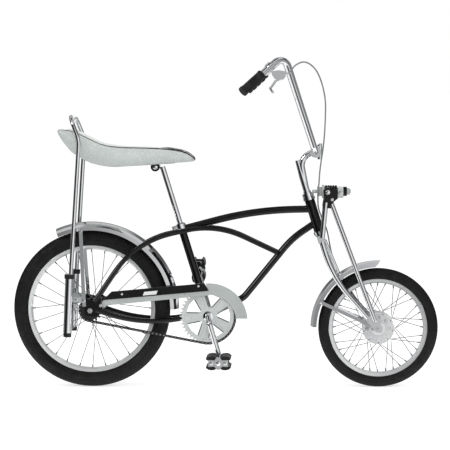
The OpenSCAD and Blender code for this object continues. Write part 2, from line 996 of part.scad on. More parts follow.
module struts() {
    color(chrome)
        difference() {
            both_sides() {
                rod(strut_top, [wheelbase - 12, strut_y, front_axle_z + 30], strut_r);
                strut_blade();
            }
            translate([wheelbase, 100, front_axle_z])
                rotate([90, 0, 0])
                    cylinder(h = 200, r = shank_r);
        }
}

spring_from = 764;
spring_to = 807;
spring_z = 384;
bolt_r = 6;
pivot = [774, 385];
rocker_path = [[757, 44, 236], [768.5, 50, 352]];
rocker_r = 8.5;
yoke_shape = [[757, 334], [762, 366], [760, 390], [766, 398], [778, 401], [794, 395], [spring_to, 393],
    [spring_to, 364], [792, 352], [784, 332]];

module spring_yoke() {
    color(frame_black)
        difference() {
            union() {
                both_sides()
                    plate(44, 12)
                        polygon(yoke_shape);
                both_sides()
                    translate([pivot.x, 62, pivot.y])
                        rotate([90, 0, 0])
                            cylinder(h = 30, r = 5);
                difference() {
                    rod([825, 0, spring_z], [837, 0, spring_z], 15.5);
                    rod([820, 0, spring_z], [850, 0, spring_z], bolt_r);
                }
            }
            both_sides()
                rod(rocker_path[0], rocker_path[1], rocker_r);
            both_sides()
                rod(strut_top, [wheelbase - 12, strut_y, front_axle_z + 30], strut_r);
        }
}

coil_turns = 4.5;
wire_r = 3.4;
coil_r = 18;
turn_steps = 18;

module fork_spring() {
    run = spring_to - spring_from - 2 * wire_r;
    n = coil_turns * turn_steps;
    color(frame_black)
        swept_tube([for (i = [0 : n]) [spring_from + wire_r + run * i / n,
            coil_r * cos(360 * i / turn_steps), spring_z + coil_r * sin(360 * i / turn_steps)]], wire_r, 8);
}

module spring_bolt() {
    color(silver) {
        difference() {
            rod([spring_from - 40, 0, spring_z], [850, 0, spring_z], bolt_r);
            steerer_nut();
        }
        translate([spring_to, -54, spring_z - 18])
            cube([18, 108, 31]);
        rod([837, 0, spring_z], [847, 0, spring_z], 11);
        rod([spring_from - 8, 0, spring_z], [spring_from, 0, spring_z], 22);
        rod([spring_from - 18, 0, spring_z], [spring_from - 8, 0, spring_z], 15);
        rod([spring_from - 24, 0, spring_z], [spring_from - 18, 0, spring_z], 17.5);
    }
}

// Stem, handlebar and controls
bar_low = [735, 0, 513];

module stem() {
    color(chrome) {
        on_steering(head_len / 2 + 30) {
            cylinder(h = 50, r = 11);
            translate([0, 0, 50])
                cylinder(h = 55, r1 = 11, r2 = 7.5);
        }
        difference() {
            union() {
                rod([bar_low.x, 22, bar_low.z], [bar_low.x, -22, bar_low.z], 18);
                rod([bar_low.x + 14, 0, bar_low.z - 24], [bar_low.x + 14, 0, bar_low.z + 24], 8);
                bent_tube([steer_at(88), [684, 0, 500], bar_low], [42], 10);
            }
            rod([bar_low.x, 60, bar_low.z], [bar_low.x, -60, bar_low.z], bar_r);
        }
    }
}

bar_out = bar_w / 2;
bar_path = [[509, -bar_out, 715], [634, -215, 828], [bar_low.x, -50, bar_low.z]];

module handlebar() {
    color(chrome)
        bent_tube(concat(bar_path, mirrored(bar_path)), [36, 40, 40, 36], bar_r);
}

grip_len = 86;

module grips() {
    color(rubber)
        both_sides() {
            along = unit(bar_path[1] - bar_path[0]);
            under = unit(cross(along, cross(along, [0, 0, 1])));
            difference() {
                union() {
                    rod(bar_path[0] - along * 3, bar_path[0] + along * grip_len, grip_r - 0.5);
                    rod(bar_path[0] - along * 3, bar_path[0] + along * 6, grip_r + 1);
                    for (i = [0 : 2])
                        rod(bar_path[0] + along * (15 + 21 * i) + under * 3.2,
                            bar_path[0] + along * (27 + 21 * i) + under * 3.2, grip_r - 1.2);
                    rod(bar_path[0] + along * (grip_len - 6), bar_path[0] + along * grip_len, grip_r + 0.4);
                }
                rod(bar_path[0], bar_path[0] + along * (grip_len + 1), bar_r);
            }
        }
}

lever_at = 122;
lever_body = [[6, -12], [30, -9], [52, -13], [50, -30], [42, -39], [16, -37], [6, -22]];
lever_blade = [[34, 4, -36], [18, 3, -44], [2, -10, -66], [10, -26, -78]];

module brake_lever() {
    a = bar_path[0];
    along = unit(bar_path[1] - a);
    at = a + along * lever_at;
    color(chrome)
        difference() {
            union() {
                rod(at - along * 7, at + along * 7, 15);
                translate(at)
                    plate(-3, 14)
                        polygon(lever_body);
                for (i = [0 : 2]) {
                    rod(at + lever_blade[i], at + lever_blade[i + 1], 4 - 0.2 * i);
                    translate(at + lever_blade[i + 1])
                        sphere(r = 4.5 - 0.2 * i);
                }
            }
            rod(a, a + along * 170, bar_r);
        }
}

// Brake cable: a tube swept along round points chosen by hand
cable_r = 2.5;
cable_route = [[643.4, -238.7, 768.9], [649, -238, 769.3], [657, -232, 778], [673, -213, 796],
    [697, -190, 805], [720, -164, 796], [740, -136, 773], [756, -106, 734],
    [766, -78, 685], [767, -60, 636], [764, -48, 571], [759, -40, 522], [754, -34, 489], [749, -30, 450],
    [746, -28, 411], [743, -26, 375], [744, -20, 336], [754, -9, 302], [765, 4, 278], [774, 16, 250],
    [780, 28, 218], [787, 40, 183], [797, 52, 148], [814, 60, 112], [838, 63, 72], [864, 62, 34], [890, 58.6, -5]];

module brake_cable() {
    color([0.35, 0.36, 0.37])
        swept_tube(cable_route, cable_r, 8);
}

module front_fender() {
    color(chrome)
        difference() {
            translate([wheelbase, 0, front_axle_z])
                wheel_arc(83, 179)
                    fender_section(front_crown_r, front_lip_r, front_fender_half, fender_t);
            plate(-60, 120)
                polygon([[wheelbase - 10, front_axle_z + 200], [wheelbase + 15, front_axle_z + 228],
                    [wheelbase + 60, front_axle_z + 240], [wheelbase + 60, front_axle_z + 180]]);
        }
}

module front_fender_stays() {
    color(chrome)
        difference() {
            both_sides()
                strap([753, front_fender_half + strap_t / 2, 23],
                    [wheelbase, leg_y - leg_plate_t / 2 - strap_t / 2, front_axle_z], 11, strap_t);
            translate([wheelbase, 100, front_axle_z])
                rotate([90, 0, 0])
                    cylinder(h = 200, r = shank_r);
        }
}

module front_axle() {
    color(chrome)
        axle_with_nuts(wheelbase, front_axle_z, leg_y + leg_plate_t / 2 + strut_plate_t);
}

module brake_plate() {
    color(silver)
        translate([wheelbase, 0, front_axle_z])
            about_axle()
                polygon([[shank_r, 22], [12, 22], [12, 31], [drum_r, 31], [drum_r, 34], [20, 40], [shank_r, 42.4]]);
}

placed() head_tube();
placed() top_tube();
placed() down_tube();
placed() seat_tube();
placed() bottom_bracket();
placed() twin_tubes();
placed() chainstays();
placed() dropouts();
placed() headset_cups();
placed() seat_post();
placed() post_clamp();
placed() saddle_clamp();
placed() saddle_pan();
placed() saddle();
placed() sissy_bar();
placed() shocks();
placed() shock_caps();
placed() shock_brackets();
placed() rear_fender();
placed() rear_fender_stays();
placed() guard_panel();
placed() chain_guard();
placed() chain();
placed() rear_axle();
placed() brake_arm();
placed() fork_crown();
placed() fork_legs();
placed() rocker_tubes();
placed() struts();
placed() spring_yoke();
placed() fork_spring();
placed() spring_bolt();
placed() stem();
placed() handlebar();
placed() grips();
placed() brake_lever();
placed() brake_cable();
placed() front_fender();
placed() front_fender_stays();
placed() front_axle();
placed() brake_plate();
placed() front_tyre();
placed() front_rim();
placed() front_hub();
placed() rear_tyre();
placed() rear_rim();
placed() rear_hub();
placed() rear_cog();
placed() crank();
placed() chainring();
placed() pedal_frame_right();
placed() pedal_blocks_right();
placed() pedal_frame_left();
placed() pedal_blocks_left();
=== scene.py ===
"""Chopper bicycle: finishes, saddle, treads, small fittings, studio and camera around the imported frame."""
import json
import math

import bpy
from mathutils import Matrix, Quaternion, Vector, noise


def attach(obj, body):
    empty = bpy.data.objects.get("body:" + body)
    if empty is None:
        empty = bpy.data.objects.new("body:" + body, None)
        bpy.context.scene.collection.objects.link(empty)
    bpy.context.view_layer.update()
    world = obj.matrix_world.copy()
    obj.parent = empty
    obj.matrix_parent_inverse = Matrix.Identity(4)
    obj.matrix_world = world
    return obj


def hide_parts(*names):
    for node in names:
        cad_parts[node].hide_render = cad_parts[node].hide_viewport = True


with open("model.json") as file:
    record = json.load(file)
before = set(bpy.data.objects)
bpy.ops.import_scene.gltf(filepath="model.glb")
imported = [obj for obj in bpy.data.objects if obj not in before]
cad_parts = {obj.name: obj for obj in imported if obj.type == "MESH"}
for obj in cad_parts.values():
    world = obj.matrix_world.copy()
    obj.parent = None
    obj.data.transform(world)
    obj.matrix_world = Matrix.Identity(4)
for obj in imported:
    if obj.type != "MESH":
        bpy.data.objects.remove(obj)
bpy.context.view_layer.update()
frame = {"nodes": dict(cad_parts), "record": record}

MM = 0.001
# Places about the rear axle in millimetres: the rider mount, then the two axles and the crank as (x, z)
RIDER = Vector((104.0, 0.0, 531.0))
REAR = (0.0, 0.0)
FRONT = (939.0, -62.5)
BB = (384.0, -21.0)
REAR_TYRE_R = 258.0
FRONT_TYRE_R = 195.5


def at(x, y, z):
    """A place about the rear axle in millimetres as a place in the row frame in metres."""
    return (Vector((x, y, z)) - RIDER) * MM


# Finishes

BRIGHT_FLAKE = (0.66, 0.69, 0.68)
# The colour below is painted shade, laid deep in corners of the silver paint
CORNER_SHADE = (0.03, 0.032, 0.033)
ALLOY_BRIGHT = (0.82, 0.83, 0.83)
ALLOY_DULL = (0.66, 0.67, 0.68)
WIRE_GREY = (0.2, 0.2, 0.205)
NOISE_ROUGHNESS = 0.55


class Finish:
    """A node material whose colour, roughness and bump vary over the surface."""

    def __init__(self, name, **sockets):
        self.mat = bpy.data.materials.new(name)
        self.mat.use_nodes = True
        self.nodes = self.mat.node_tree.nodes
        self.links = self.mat.node_tree.links
        self.bsdf = self.nodes["Principled BSDF"]
        for socket, value in sockets.items():
            self.bsdf.inputs[socket.replace("_", " ")].default_value = value
        self.coords = self.nodes.new("ShaderNodeTexCoord").outputs["Object"]
        self.normal = None

    def stretched(self, stretch):
        node = self.nodes.new("ShaderNodeMapping")
        node.inputs["Scale"].default_value = stretch
        self.links.new(self.coords, node.inputs["Vector"])
        return node.outputs["Vector"]

    def noise(self, scale, detail=3.0, stretch=None):
        node = self.nodes.new("ShaderNodeTexNoise")
        node.inputs["Scale"].default_value = scale
        node.inputs["Detail"].default_value = detail
        node.inputs["Roughness"].default_value = NOISE_ROUGHNESS
        self.links.new(self.stretched(stretch) if stretch else self.coords, node.inputs["Vector"])
        return node.outputs["Fac"]

    def cells(self, scale, output="Distance"):
        node = self.nodes.new("ShaderNodeTexVoronoi")
        node.inputs["Scale"].default_value = scale
        self.links.new(self.coords, node.inputs["Vector"])
        return node.outputs[output]

    def creases(self, reach):
        """Nought deep in a corner and one on open faces: the mask for painted shade in corners."""
        node = self.nodes.new("ShaderNodeAmbientOcclusion")
        node.samples = 8
        node.inputs["Distance"].default_value = reach
        return self.spread(node.outputs["AO"], 0.0, 1.0, 0.25, 0.75)

    def spread(self, value, low, high, start=0.3, end=0.7):
        """A value between start and end as one between low and high."""
        node = self.nodes.new("ShaderNodeMapRange")
        for socket, number in (("From Min", start), ("From Max", end), ("To Min", low), ("To Max", high)):
            node.inputs[socket].default_value = number
        self.links.new(value, node.inputs["Value"])
        return node.outputs["Result"]

    def blend(self, factor, a, b):
        """Colour a where the factor is nought and b where it is one."""
        node = self.nodes.new("ShaderNodeMix")
        node.data_type = "RGBA"
        self.links.new(factor, node.inputs["Factor"])
        for socket, colour in (("A", a), ("B", b)):
            target = [s for s in node.inputs if s.name == socket and s.type == "RGBA"][0]
            if isinstance(colour, tuple):
                target.default_value = (*colour, 1.0)
            else:
                self.links.new(colour, target)
        return [s for s in node.outputs if s.type == "RGBA"][0]

    def colour(self, value):
        self.links.new(value, self.bsdf.inputs["Base Color"])

    def roughness(self, value):
        self.links.new(value, self.bsdf.inputs["Roughness"])

    def bump(self, height, distance, strength=1.0):
        node = self.nodes.new("ShaderNodeBump")
        node.inputs["Distance"].default_value = distance
        node.inputs["Strength"].default_value = strength
        self.links.new(height, node.inputs["Height"])
        if self.normal:
            self.links.new(self.normal, node.inputs["Normal"])
        self.normal = node.outputs["Normal"]
        self.links.new(self.normal, self.bsdf.inputs["Normal"])


def plated(name, bright, dull, low, high, grain, depth, metallic=1.0):
    """Bright metal with faint haze, fine polishing lines and a few dull spots."""
    f = Finish(name, Metallic=metallic)
    haze = f.spread(f.noise(9.0, 4.0), 0.0, 1.0)
    f.colour(f.blend(haze, bright, dull))
    f.roughness(f.spread(f.noise(60.0, 5.0), low, high))
    f.bump(f.noise(grain, 2.0), depth, 0.35)
    f.bump(f.noise(160.0, 3.0, stretch=(1.0, 9.0, 1.0)), depth * 0.5, 0.25)
    return f.mat


def spoked(name, axle, reach):
    """Polished alloy in a hub and greyer wire in its spokes, which begin at reach from the axle."""
    f = Finish(name, Metallic=0.45)
    coords = f.nodes.new("ShaderNodeTexCoord")
    value = coords.outputs["Object"]
    for operation, other in (("SUBTRACT", axle), ("MULTIPLY", (1.0, 0.0, 1.0)), ("LENGTH", None)):
        node = f.nodes.new("ShaderNodeVectorMath")
        node.operation = operation
        f.links.new(value, node.inputs[0])
        if other:
            node.inputs[1].default_value = other
        value = node.outputs["Value" if operation == "LENGTH" else "Vector"]
    wire = f.spread(value, 0.0, 1.0, reach, reach + 0.004)
    alloy = f.blend(f.spread(f.noise(9.0, 4.0), 0.0, 1.0), ALLOY_BRIGHT, ALLOY_DULL)
    f.colour(f.blend(wire, alloy, WIRE_GREY))
    f.roughness(f.spread(f.noise(60.0, 5.0), 0.14, 0.3))
    f.bump(f.noise(520.0, 2.0), 0.00004, 0.35)
    return f.mat


def enamel(name, deep, dusty, low, high):
    """Sprayed paint under a clear coat: slight orange peel and a trace of dust."""
    f = Finish(name, Coat_Weight=0.6, Coat_Roughness=0.025)
    f.bsdf.inputs["Specular IOR Level"].default_value = 0.1
    f.colour(f.blend(f.spread(f.noise(22.0, 6.0), 0.0, 1.0, 0.45, 0.85), deep, dusty))
    f.roughness(f.spread(f.noise(45.0, 4.0), low, high))
    f.bump(f.noise(420.0, 2.0), 0.00003, 0.3)
    return f.mat


def flaked(name, base, flake):
    """Silver paint: fine metal flakes, each a little lighter or darker, under a clear coat."""
    f = Finish(name, Metallic=0.25, Coat_Weight=0.3, Coat_Roughness=0.08)
    flecks = f.cells(2600.0, "Color")
    shade = f.blend(f.spread(f.noise(14.0, 3.0), 0.0, 1.0), base, flake)
    shade = f.blend(f.spread(flecks, 0.0, 0.35, 0.2, 0.9), shade, BRIGHT_FLAKE)
    # Painted shade: dark grey where the occlusion mask finds corners and creases
    f.colour(f.blend(f.creases(0.01), CORNER_SHADE, shade))
    f.roughness(f.spread(f.noise(70.0, 4.0), 0.26, 0.4))
    f.bump(f.noise(500.0, 2.0), 0.00003, 0.3)
    return f.mat


def moulded(name, deep, dusty, low, high, grain, depth):
    """Rubber or plastic: fine grain, a dusty bloom and uneven sheen."""
    f = Finish(name)
    f.bsdf.inputs["Specular IOR Level"].default_value = 0.28
    f.colour(f.blend(f.spread(f.noise(30.0, 6.0), 0.0, 1.0, 0.4, 0.8), deep, dusty))
    f.roughness(f.spread(f.noise(90.0, 4.0), low, high))
    f.bump(f.noise(grain, 3.0), depth, 0.5)
    f.bump(f.cells(grain * 0.6), depth * 0.6, 0.35)
    return f.mat


def vinyl(name, base, shade, sparkle):
    """Glitter vinyl: leather grain, small bright flakes and soft creases."""
    f = Finish(name, Coat_Weight=0.6, Coat_Roughness=0.12, Sheen_Weight=0.5, Sheen_Roughness=0.3)
    f.bsdf.inputs["Specular IOR Level"].default_value = 0.5
    body = f.blend(f.spread(f.noise(16.0, 4.0), 0.0, 1.0), base, shade)
    f.colour(f.blend(f.spread(f.cells(950.0, "Color"), 0.0, 1.0, 0.72, 0.95), body, sparkle))
    f.roughness(f.spread(f.noise(240.0, 3.0), 0.28, 0.46))
    f.bump(f.cells(620.0), 0.00016, 0.5)
    f.bump(f.noise(42.0, 2.0), 0.0006, 0.25)
    return f.mat


CHROME = plated("chrome", (0.9, 0.91, 0.92), (0.8, 0.81, 0.83), 0.015, 0.06, 700.0, 0.00001)
FINISHES = {
    "frame_paint": enamel("black_enamel", (0.002, 0.002, 0.0025), (0.008, 0.008, 0.009), 0.2, 0.3),
    "chrome": CHROME,
    "silver_paint": flaked("silver_paint", (0.43, 0.465, 0.455), (0.5, 0.535, 0.525)),
    "alloy": plated("polished_alloy", ALLOY_BRIGHT, ALLOY_DULL, 0.14, 0.3, 520.0, 0.00004, 0.45),
    "black_plastic": moulded("black_plastic", (0.012, 0.012, 0.013), (0.03, 0.03, 0.03),
                             0.25, 0.4, 900.0, 0.00003),
    "vinyl": vinyl("sparkle_vinyl", (0.52, 0.56, 0.54), (0.44, 0.48, 0.46), (0.9, 0.92, 0.91)),
    "rubber": moulded("black_rubber", (0.007, 0.007, 0.007), (0.02, 0.02, 0.02), 0.4, 0.6, 1100.0, 0.00006),
    "tyre": moulded("tyre_rubber", (0.004, 0.004, 0.004), (0.011, 0.0108, 0.0105), 0.5, 0.72, 800.0, 0.00008),
    "chain_steel": plated("oiled_steel", (0.09, 0.09, 0.092), (0.035, 0.033, 0.03),
                          0.25, 0.5, 900.0, 0.00005),
    "cable_sheath": moulded("cable_sheath", (0.2, 0.205, 0.21), (0.28, 0.285, 0.29),
                            0.3, 0.45, 1500.0, 0.00004),
}
VINYL_TOP = vinyl("sparkle_vinyl_top", (0.82, 0.85, 0.835), (0.74, 0.78, 0.76), (1.0, 1.0, 1.0))
PIPING = moulded("black_piping", (0.012, 0.012, 0.013), (0.05, 0.05, 0.05), 0.2, 0.35, 1300.0, 0.00004)
THREAD = moulded("pale_thread", (0.6, 0.62, 0.61), (0.7, 0.71, 0.7), 0.55, 0.75, 2600.0, 0.00006)
PIN_STEEL = plated("pin_steel", (0.45, 0.45, 0.46), (0.3, 0.3, 0.3), 0.25, 0.4, 900.0, 0.00004)
# Dark steel for the spoke nipples, and painted shade for the lines along the chainring's folds
DARK_STEEL_AND_SHADE = plated("dark_steel_and_painted_shade", (0.1, 0.1, 0.105), (0.05, 0.05, 0.05), 0.25, 0.4, 900.0, 0.00004)
WHITE_PATCH = enamel("white_patch", (0.78, 0.79, 0.78), (0.7, 0.71, 0.7), 0.3, 0.4)

BRIGHT_RIM = plated("bright_rim", (0.77, 0.78, 0.78), (0.64, 0.65, 0.66), 0.05, 0.12, 600.0, 0.00002, 0.4)
PALE_SILVER = flaked("pale_silver", (0.62, 0.65, 0.64), (0.7, 0.73, 0.72))
OWN_FINISH = {"rear_rim": BRIGHT_RIM, "front_rim": BRIGHT_RIM, "chainring": PALE_SILVER,
              "rear_hub": spoked("rear_hub_and_spokes", at(REAR[0], 0, REAR[1]), 0.03),
              "front_hub": spoked("front_hub_and_spokes", at(FRONT[0], 0, FRONT[1]), 0.056)}
SLOT_OF = {row["node"]: row["material_slot"] for row in frame["record"]["subparts"]}
for node, obj in frame["nodes"].items():
    if not obj.material_slots:
        obj.data.materials.append(None)
    for slot in obj.material_slots:
        slot.material = OWN_FINISH.get(node, FINISHES[SLOT_OF[node]])


# Mesh helpers

class Bits:
    """Collects small turned or swept forms into one mesh. Places are millimetres about the rear axle."""

    def __init__(self):
        self.verts = []
        self.faces = []
        self.marks = []

    def rings(self, rings, mark=0, closed=False, caps=True):
        """Joins equal rings of points; closed runs the last back into the first."""
        base = len(self.verts)
        n = len(rings[0])
        for ring in rings:
            self.verts.extend(ring)
        for j in range(len(rings) if closed else len(rings) - 1):
            a = base + j * n
            b = base + (j + 1) % len(rings) * n
            for i in range(n):
                k = (i + 1) % n
                self.faces.append((a + i, a + k, b + k, b + i))
                self.marks.append(mark)
        if caps and not closed:
            self.faces.append(tuple(base + i for i in reversed(range(n))))
            self.faces.append(tuple(base + (len(rings) - 1) * n + i for i in range(n)))
            self.marks.extend((mark, mark))

    def turned(self, centre, axis, profile, sides=20, mark=0):
        """A turned form: profile is (radius, height along the axis)."""
        turn = Vector((0, 0, 1)).rotation_difference(Vector(axis)).to_matrix()
        rings = []
        for r, h in profile:
            ring = []
            for i in range(sides):
                a = 2 * math.pi * i / sides
                ring.append(Vector(centre) + turn @ Vector((r * math.cos(a), r * math.sin(a), h)))
            rings.append(ring)
        self.rings(rings, mark)

    def bolt(self, centre, axis, r=5.0, h=3.5):
        """A hexagon head with a chamfered top on a round flange."""
        self.turned(centre, axis, [(r * 1.25, 0), (r * 1.25, 0.7), (r * 1.02, 1.0)], 24)
        self.turned(centre, axis, [(r, 0.9), (r, h - 0.5), (r * 0.86, h)], 6)

    def dome(self, centre, axis, r=4.0, h=2.2):
        """A round rivet or button head."""
        arc = [(r * math.cos(a), h * math.sin(a)) for a in (0, 0.35, 0.7, 1.05, 1.35, 1.5)]
        self.turned(centre, axis, arc, 18)

    def swept(self, path, radii, sides=8, closed=False):
        """A round tube along points, with one radius or one for each point."""
        if not isinstance(radii, list):
            radii = [radii] * len(path)
        rings = []
        side = None
        count = len(path)
        for i, p in enumerate(path):
            before = path[i - 1] if i or closed else p
            after = path[(i + 1) % count] if i < count - 1 or closed else p
            along = (Vector(after) - Vector(before)).normalized()
            side = (side - along * side.dot(along)) if side else along.cross((0.1, 1.0, 0.2))
            side.normalize()
            up = along.cross(side)
            ring = []
            for k in range(sides):
                a = 2 * math.pi * k / sides
                ring.append(Vector(p) + (side * math.cos(a) + up * math.sin(a)) * radii[i])
            rings.append(ring)
        self.rings(rings, closed=closed)

    def piece(self, name, body, finishes, smooth=35.0, replaces=()):
        """Makes the object: edges sharper than smooth degrees stay sharp, and each mark takes its finish."""
        mesh = bpy.data.meshes.new(name)
        mesh.from_pydata([at(*v) for v in self.verts], [], self.faces)
        mesh.validate()
        if not isinstance(finishes, (list, tuple)):
            finishes = [finishes]
        for finish in finishes:
            mesh.materials.append(finish)
        if len(finishes) > 1:
            mesh.polygons.foreach_set("material_index", self.marks)
        mesh.shade_smooth()
        mesh.set_sharp_from_angle(angle=math.radians(smooth))
        obj = bpy.data.objects.new(name, mesh)
        bpy.context.scene.collection.objects.link(obj)
        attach(obj, body)
        if replaces:
            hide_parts(*replaces)
        return obj


def on_line(points, x):
    """Height at x along a list of (x, height) points."""
    for (x0, z0), (x1, z1) in zip(points, points[1:]):
        if x0 <= x <= x1:
            return z0 + (z1 - z0) * (x - x0) / (x1 - x0)
    return points[-1][1] if x > points[-1][0] else points[0][1]


# Saddle

# The cover's top, bottom and half width along the bicycle
SADDLE_TOP = [(-105, 586), (-100, 591), (-60, 592), (-32, 582), (-11, 572), (11, 561), (33, 550), (60, 542),
              (104, 536.5), (163, 534), (213, 532), (257, 528.5), (295, 521.5), (318, 513), (331, 504),
              (339, 495), (342, 488)]
SADDLE_BOTTOM = [(-105, 583), (-87, 555), (-71, 536), (-54, 517), (-32.5, 506), (-19, 496.2), (6, 485.2),
                 (38, 476.1), (77, 470.5), (110, 472), (169, 475.5), (213, 478.1), (279, 482.5), (338, 485),
                 (342, 486)]
SADDLE_HALF = [(-105, 42), (-102, 50), (-95, 57), (-86, 62), (-60, 63.4), (60, 63.6), (90, 63), (120, 59),
               (160, 51), (190, 46.5), (220, 45.4), (316, 44.6), (328, 41), (337, 33), (342, 26)]
# Half a slice, from the middle of the top round to that of the bottom, as shares of width and height
SLICE = [(0.0, 1.0), (0.2, 0.998), (0.4, 0.99), (0.58, 0.975), (0.7, 0.955), (0.77, 0.93), (0.8, 0.905),
         (0.835, 0.9), (0.89, 0.865), (0.945, 0.77), (0.985, 0.62), (1.0, 0.46), (0.99, 0.28), (0.955, 0.1),
         (0.9, -0.03), (0.855, -0.055), (0.825, -0.045), (0.815, 0.0), (0.35, 0.0), (0.0, 0.0)]
SLICES_AT = [-105, -104, -101, -95, -86, -76, -66, -55, -43, -32, -20, -9, 2, 12, 22, 34, 48, 60, 80, 104,
             130, 154, 180, 204, 228, 250, 270, 286, 300, 312, 322, 330, 336, 340, 342]
# How many faces each side of the middle are the paler top panel, and how deep the vinyl's creases go
TOP_PANEL = 7
CREASE_SIDE = 0.8
CREASE_TOP = 1.2
# Each line of piping: share of width and height, where it starts, and its radius there and toward the nose
PIPING_LINES = ((0.812, 0.912, -100, 0.8, 2.3), (0.6, 0.985, 232, 0.3, 1.3))
PIPING_FULL_X = 265
# The line of stitches inside the piping, as shares of width and height
STITCH_AT = (0.745, 0.9445)


def saddle_point(x, share, height):
    """A point of the slice at x."""
    low = on_line(SADDLE_BOTTOM, x)
    high = on_line(SADDLE_TOP, x)
    return Vector((x, share * on_line(SADDLE_HALF, x), low + (high - low) * height))


def make_saddle():
    bits = Bits()
    around = [(s, h) for s, h in SLICE] + [(-s, h) for s, h in reversed(SLICE[1:-1])]
    rings = []
    for x in SLICES_AT:
        ring = []
        for share, height in around:
            p = saddle_point(x, share, height)
            wave = noise.noise(Vector((p.x * 0.018, p.y * 0.03, p.z * 0.03)))
            if height > 0.02:
                p.y -= math.copysign(1.0, p.y) * CREASE_SIDE * abs(wave) if abs(p.y) > 1 else 0
                p.z -= CREASE_TOP * max(0.0, wave) if height > 0.9 else 0
            ring.append(p)
        rings.append(ring)
    bits.rings(rings)
    n = len(around)
    count = (len(SLICES_AT) - 1) * n
    for face in range(count):
        i = face % n
        bits.marks[face] = 1 if i < TOP_PANEL or i >= n - TOP_PANEL else 0
    seat = bits.piece("saddle_cover", "frame", [FINISHES["vinyl"], VINYL_TOP], 180.0, ["saddle"])
    round_off = seat.modifiers.new("round", "SUBSURF")
    round_off.levels = round_off.render_levels = 2

    piping = Bits()
    threads = Bits()
    for share, height, start, thin, thick in PIPING_LINES:
        edge = list(range(start, 336, 6)) + [338, 341]
        shares = [min(1.0, max(0.0, (x - start) / (PIPING_FULL_X - start))) for x in edge]
        grow = [thin + (thick - thin) * s for s in shares]
        near = [saddle_point(x, -share, height) for x in edge]
        far = [saddle_point(x, share, height) for x in edge]
        piping.swept(near + far[::-1], grow + grow[::-1], 8)
    for side in (1, -1):
        for x in range(-92, 324, 5):
            a = saddle_point(x, side * STITCH_AT[0], STITCH_AT[1])
            b = saddle_point(x + 3, side * STITCH_AT[0], STITCH_AT[1])
            threads.swept([a, b], 0.5, 5)
    piping.piece("saddle_piping", "frame", PIPING, 180.0)
    threads.piece("saddle_stitches", "frame", THREAD, 60.0)


make_saddle()


# Tyres, valves and nipples

# Angles from the crown at which the tyre's section turns, and where a block and its slot begin and end
TREAD_ANGLES = [0, 1.5, 3.5, 5, 9, 13, 14.5, 18, 19.5, 24, 26, 28, 34, 40, 46, 48, 52, 58, 66, 72, 73, 75, 76,
                84, 92, 100, 101, 103, 104, 112, 120, 128, 136]
BLOCK_STEPS = (0.0, 0.7, 0.76, 0.94)
TYRE_WALL = 4.5


def tread_cut(angle, in_slot):
    """How far the tyre's surface lies inside its full round, by the angle from the crown."""
    if angle < 2 or 14 < angle < 18.5:
        return 1.6
    if in_slot and 27 < angle < 47:
        return 2.0
    if 25.5 < angle < 26.5:
        return 1.4
    if 72.5 < angle < 75.5 or 100.5 < angle < 103.5:
        return -0.02
    return 0.35 if angle > 50 else 0.0


def make_tyre(name, node, body, centre, radius, width, rim_r, blocks):
    """A tyre with ribs round its crown, cut shoulder blocks and two raised sidewall lines."""
    half = width / 2
    middle = radius - half
    bead = math.degrees(math.acos((rim_r - middle) / half)) - 1
    inside = [a for a in TREAD_ANGLES if a < bead - 2]
    angles = [-bead] + [-a for a in reversed(inside[1:])] + inside + [bead]
    rings = []
    for j in range(4 * blocks):
        turn = 2 * math.pi * (j // 4 + BLOCK_STEPS[j % 4]) / blocks
        section = [(a, half - tread_cut(abs(a), j % 4 in (2, 3))) for a in angles]
        section += [(a, half - TYRE_WALL) for a in range(132, -133, -24)]
        ring = []
        for a, reach in section:
            r = middle + reach * math.cos(math.radians(a))
            y = reach * math.sin(math.radians(a))
            ring.append(Vector((centre[0] + r * math.cos(turn), y, centre[1] + r * math.sin(turn))))
        rings.append(ring)
    bits = Bits()
    bits.rings(rings, closed=True)
    bits.piece(name, body, FINISHES["tyre"], 40.0, [node])


def make_wheel_trim(name, body, centre, rim_r, count, flange_r, flange_y, sweep, valve_at):
    """Spoke nipples, spoke elbows at the flanges and a valve."""
    bits = Bits()
    cx, cz = centre
    for i in range(count):
        side = 1 if i % 2 == 0 else -1
        lead = 1 if (i // 2) % 2 == 0 else -1
        a = math.radians(i * 360 / count)
        h = a + math.radians(lead * sweep)
        rim = Vector((cx + rim_r * math.cos(a), side * 3, cz + rim_r * math.sin(a)))
        hub = Vector((cx + flange_r * math.cos(h), side * flange_y + lead * 1.6, cz + flange_r * math.sin(h)))
        along = (hub - rim).normalized()
        bits.turned(rim - along * 2, along, [(2.5, 0), (2.5, 3.5), (1.9, 4.5), (1.9, 11), (1.3, 12)], 8)
        bits.dome(hub, (0, lead * side, 0), 2.2, 1.4)
    bits.piece(name, body, DARK_STEEL_AND_SHADE, 35.0)
    valve = Bits()
    out = Vector((math.cos(valve_at), 0, math.sin(valve_at)))
    start = Vector((cx, 0, cz)) + out * (rim_r - 1)
    valve_profile = [(5.5, 0), (5.0, 2), (3.4, 5), (3.1, 20), (3.9, 20.5), (3.9, 31), (3.0, 32.5)]
    valve.turned(start, -out, valve_profile, 16)
    valve.piece(name + "_valve", body, FINISHES["rubber"], 35.0)


make_tyre("rear_tyre_tread", "rear_tyre", "rear_wheel", REAR, REAR_TYRE_R, 54.0, 209.0, 132)
make_tyre("front_tyre_tread", "front_tyre", "front_wheel", FRONT, FRONT_TYRE_R, 45.0, 160.5, 110)
make_wheel_trim("rear_nipples", "rear_wheel", REAR, 196.0, 28, 22.0, 30.0, 62.0, 0.312)
make_wheel_trim("front_nipples", "front_wheel", FRONT, 147.5, 36, 48.0, 26.5, 38.0, 2.24)


# Chain pins

PITCH = 12.7
RING_TEETH = 44
COG_TEETH = 18
CHAIN_OUTER_Y = -47.6
CHAIN_INNER_Y = -40.4


